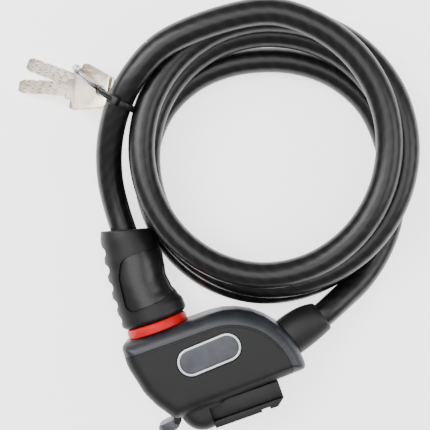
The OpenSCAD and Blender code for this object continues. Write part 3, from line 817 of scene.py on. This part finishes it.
grip = gripForm("latchGrip", 0)
topCut = block("topCut", (-60, 0, -5), (60, 30, 45))
slope = math.atan2(gripSettings["topRight"] - gripSettings["topLeft"], 26)
topMiddle = (gripSettings["topLeft"] + gripSettings["topRight"]) / 2
moved(topCut, Matrix.Translation((gripSettings["axis"], topMiddle, 0)) @ Matrix.Rotation(slope, 4, "Z"))
combined(grip, topCut)
for along, deep in gripSettings["scallops"]:
    size = gripSettings["scallopRadius"]
    edge = gripSettings["axis"] - edgeAt(gripSettings["left"], along)
    bpy.ops.mesh.primitive_uv_sphere_add(segments=40, ring_count=24, radius=size,
                                         location=(edge - size + deep, along, 20))
    scallop = newest("scallop")
    scallop.scale = (1, 0.86, 3.4)
    bpy.ops.object.transform_apply(location=True, rotation=True, scale=True)
    combined(grip, scallop)
withModifier(grip, "REMESH", mode="VOXEL", voxel_size=0.5, use_smooth_shade=True)
withModifier(grip, "SMOOTH", factor=0.5, iterations=5)
core = gripForm("padCore", gripSettings["panelSink"] + 1.7)
recess = panelArea("panelRecess", 0, 20, 45)
combined(recess, core, keep=True)
lip = combined(gripForm("panelLip", -gripSettings["lip"]), panelArea("lipOuter", 0.95, 27, 45), "INTERSECT")
combined(lip, panelArea("lipInner", 0.05, 20, 50))
combined(lip, block("lipEnd", (-17, 0, 0), (60, 120, 60)))
combined(grip, lip, "UNION")
combined(grip, recess)
for radius, low, high in ((8.45, 30, 75.2), (7.75, 70, 100)):
    combined(grip, moved(roundBar("gripBore", radius, low, high), latchTurn))
finishPiece(grip, "latch", gripTpe, ["grip_sleeve"], 40)

pad = gripForm("thumbPad", gripSettings["panelSink"])
combined(pad, panelArea("padArea", -0.12, 20.15, 45), "INTERSECT")
combined(pad, core)
softEdges(pad, 0.25, 2, 50)
finishPiece(pad, "latch", padGrain, ["thumb_pad"], 40)
print("grip made")


# ---- keyway flap and bracket rail ----

flapSettings = {
    "width": 15.0,
    "open": 182,
    "profile": [(-2.4, -0.6, 0.9), (3, -0.9, 5), (11.2, -0.4, 2.0), (12.4, 2.8, 1.8), (7, 5.4, 6),
                (0.6, 4.4, 3), (-2.4, 1.7, 1.0)],
}
flap = outlineSolid("keyFlap", filletedLoop(flapSettings["profile"], 8), -flapSettings["width"] / 2,
                    flapSettings["width"] / 2)
tongue = moved(roundBar("tongueEnd", flapSettings["width"] / 2 + 0.5, -20, 20, 64),
               Matrix.Translation((4.6, 0, 0)) @ Matrix.Rotation(math.pi / 2, 4, "X"))
combined(flap, tongue, "INTERSECT")
softEdges(flap, 0.7, 4, 40)
combined(flap, roundBar("flapBore", 0.85, -20, 20, 24))
moved(flap, Matrix.Translation((*flapHinge, 20))
      @ Matrix.Rotation(math.radians(flapSettings["open"]), 4, "Z"))
finishPiece(flap, "flap", flapAcetal, ["keyway_flap"], 40)

railSettings = {
    "start": -13.0,
    "end": 29.3,
    "flangeEnd": 24.6,
    "foot": (-27.6, -19.9),
    "neck": (-29.9, -27.2),
    "flange": (-33.3, -29.5),
    "notch": (15.0, 20.0),
    "notchFloor": -32.0,
}
rail = block("bracketRail", (railSettings["start"], railSettings["foot"][0], 8),
             (railSettings["end"], railSettings["foot"][1], 32))
combined(rail, block("railNeck", (railSettings["start"] + 0.01, railSettings["neck"][0], 12),
                     (railSettings["end"] - 0.01, railSettings["neck"][1], 28)), "UNION")
low, high = railSettings["flange"]
flange = outlineSolid("railFlange", [(railSettings["start"], low), (railSettings["flangeEnd"], low),
                                     (railSettings["end"], high), (railSettings["start"], high)], 6.5, 33.5)
combined(flange, block("railNotch", (railSettings["notch"][0], low - 3, 0),
                       (railSettings["notch"][1], railSettings["notchFloor"], 40)))
combined(rail, flange, "UNION")
softEdges(rail, 0.4, 3, 35)
finishPiece(rail, "head", railNylon, ["mount_rail"], 40)
print("flap and rail made")


# ---- keys, split ring and tie ----

keySettings = {
    "hole": (-10.7, 171.5, 26),
    "heading": 145.6,
    "tilt": 26,
    "spread": 7.3,
    "thick": 2.2,
    "holeRadius": 3.2,
    "outline": [(-5, -9.6, 3.2), (16.4, -12.4, 3), (20, -11.6, 1.8), (20, -6.1, 0.5), (24, -6.1, 0.6),
                (24.3, -4.3, 0.3), (55.4, -4.3, 2), (59, -2.9, 1.4), (59, 2.9, 1.4), (55.4, 4.3, 2),
                (24.3, 4.3, 0.3), (24, 6.1, 0.6), (20, 6.1, 0.5), (20, 11.6, 1.8), (16.4, 12.4, 3),
                (-5, 9.6, 3.2)],
    "dimples": 5,
    "firstDimple": 30.5,
    "pitch": 5.6,
    "rowGap": 2.1,
    "dimpleRadius": 1.55,
    "track": 0.55,
    # Milled into the blade's edges: place along it, side and radius
    "nicks": [(29.5, 1, 1.5), (35.5, -1, 1.3), (40, 1, 1.4), (46.5, -1, 1.5), (51.5, 1, 1.3),
              (53.5, -1, 1.1)],
}


def onKeys(turn):
    return (Matrix.Translation(keySettings["hole"])
            @ Matrix.Rotation(math.radians(keySettings["heading"]), 4, "Z")
            @ Matrix.Rotation(math.radians(keySettings["tilt"]), 4, "Y")
            @ Matrix.Rotation(math.radians(turn), 4, "Z"))


def keyBlank():
    thick = keySettings["thick"]
    blank = outlineSolid("key", filletedLoop(keySettings["outline"], 5), 0, thick)
    softEdges(blank, 0.28, 3, 60)
    combined(blank, roundBar("keyHole", keySettings["holeRadius"], -2, 6))
    marks = []
    for number in range(keySettings["dimples"]):
        for row in (-1, 1):
            for height in (0, thick):
                size = keySettings["dimpleRadius"] - 0.1 * ((number + row) % 3)
                place = (keySettings["firstDimple"] + number * keySettings["pitch"] + row,
                         row * keySettings["rowGap"], height + (0.75 if height else -0.75))
                bpy.ops.mesh.primitive_uv_sphere_add(segments=28, ring_count=14, radius=size, location=place)
                marks.append(newest("dimple"))
    for along, side, size in keySettings["nicks"]:
        bpy.ops.mesh.primitive_cylinder_add(vertices=24, radius=size, depth=6,
                                            location=(along, side * (4.3 + size * 0.45), thick / 2))
        marks.append(newest("edgeNick"))
    combined(blank, joined(marks, "dimples"))
    for height in (0, thick):
        track = [Vector((22 + 0.5 * k, 0.55 * math.sin(k * 0.42), height + (0.35 if height else -0.35)))
                 for k in range(76)]
        combined(blank, sweptTube("milledTrack", track, keySettings["track"], 10))
        panel = [(5.6, -8.4, 1.6), (17.2, -9.2, 1.8), (17.2, 9.2, 1.8), (5.6, 8.4, 1.6)]
        low, high = (thick - 0.16, thick + 1) if height else (-1, 0.16)
        combined(blank, outlineSolid("bowPanel", filletedLoop(panel, 5), low, high))
    return blank


keyOne = keyBlank()
keyTwo = copied(keyOne, "keyTwo")
keyOne.name = "keyOne"
moved(keyOne, onKeys(keySettings["spread"]) @ Matrix.Translation((0, 0, 0.15)))
moved(keyTwo, onKeys(-keySettings["spread"]) @ Matrix.Translation((0, 0, -keySettings["thick"] - 0.15)))
finishPiece(keyOne, "key_a", keyNickel, ["key_1"], 30)
finishPiece(keyTwo, "key_b", keyNickel, ["key_2"], 30)

ringSettings = {"radius": 11.3, "wire": 0.7, "heading": 117.6}
wire = []
for k in range(141):
    angle = 5.0 * k
    climb = min(max((angle - 320) / 60, 0), 1)
    height = 1.44 * (climb * climb * (3 - 2 * climb) - 0.5)
    wire.append(Vector((ringSettings["radius"] * math.cos(math.radians(angle)),
                        ringSettings["radius"] * math.sin(math.radians(angle)), height)))
splitRing = sweptTube("splitRing", wire, ringSettings["wire"], 14)
moved(splitRing, onKeys(ringSettings["heading"] - keySettings["heading"])
      @ Matrix.Translation((ringSettings["radius"] + 1.7, 0, 0)) @ Matrix.Rotation(math.pi / 2, 4, "X"))
finishPiece(splitRing, "ring", ringSteel, ["key_ring"], 50)

tieSettings = {"at": (-2, 159.5, 40.2), "band": 1.1, "width": 3.4, "headAngle": 32}
tieAlong = Vector(keySettings["hole"]) - Vector(tieSettings["at"])
tieReach = tieAlong.length - 4.75
tieX = tieAlong.normalized()
tilt, heading = math.radians(keySettings["tilt"]), math.radians(keySettings["heading"])
keySquare = Vector((math.sin(tilt) * math.cos(heading), math.sin(tilt) * math.sin(heading), math.cos(tilt)))
tieZ = tieX.cross(keySquare).normalized()
tieY = tieZ.cross(tieX)
onTie = Matrix.Translation(tieSettings["at"]) @ Matrix((tieX, tieY, tieZ)).transposed().to_4x4()
tieCorners = [(-9.7, -10.4, 8.5), (tieReach + 5.3, -5.1, 5.6), (tieReach + 5.3, 5.1, 5.6),
              (-9.7, 10.4, 8.5)]
half = tieSettings["width"] / 2
tie = outlineSolid("cableTie", filletedLoop(tieCorners, 16), -half, half)
tieInside = filletedLoop(insetCorners(tieCorners, tieSettings["band"]), 16)
combined(tie, outlineSolid("tieInside", tieInside, -5, 5))
softEdges(tie, 0.25, 2, 50)
lockBlock = block("tieHead", (-2.9, 9.6, -2.6), (2.9, 14.2, 2.6))
softEdges(lockBlock, 0.7, 3)
moved(lockBlock, Matrix.Rotation(math.radians(tieSettings["headAngle"]), 4, "Z"))
tailLine = smoothPoints([(-7, 12, 0), (-3.6, 15.6, 0.4), (1, 16.6, 1.4), (5.4, 15.2, 2.6)], 0.8)
tail = sweptTube("tieTail", tailLine, 1.2, 12, up=(1, 0, 0), flat=0.45)
tie = joined([tie, lockBlock, tail], "cableTie")
moved(tie, onTie)
finishPiece(tie, "head", tieNylon, ["key_tie"], 40)
print("keys, ring and tie made")


# ---- paint for the parts that stay as the CAD made them ----

cadPaint = {
    "mouth_seal": wiperRubber,
    "bolt_guide": bolt,
    "body_ferrule": bolt,
    "ferrule_pin": bolt,
    "flap_pin": bolt,
    "driver_pins": bolt,
    "latch_bolt": bolt,
    "latch_ferrule": bolt,
    "lock_cam": bolt,
    "catch_slide": bolt,
    "ejector_plunger": bolt,
    "cylinder_housing": cylinderBrass,
    "key_pins": cylinderBrass,
    "cylinder_plug": plugNickel,
    "pin_springs": springWire,
    "ejector_spring": springWire,
    "cover_screws": screwZinc,
    "cable_latch_end": bootTpe,
}
for nodeName, paint in cadPaint.items():
    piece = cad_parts[nodeName]
    if not piece.material_slots:
        piece.data.materials.append(paint)
    for materialSlot in piece.material_slots:
        materialSlot.material = paint
print("CAD parts painted")
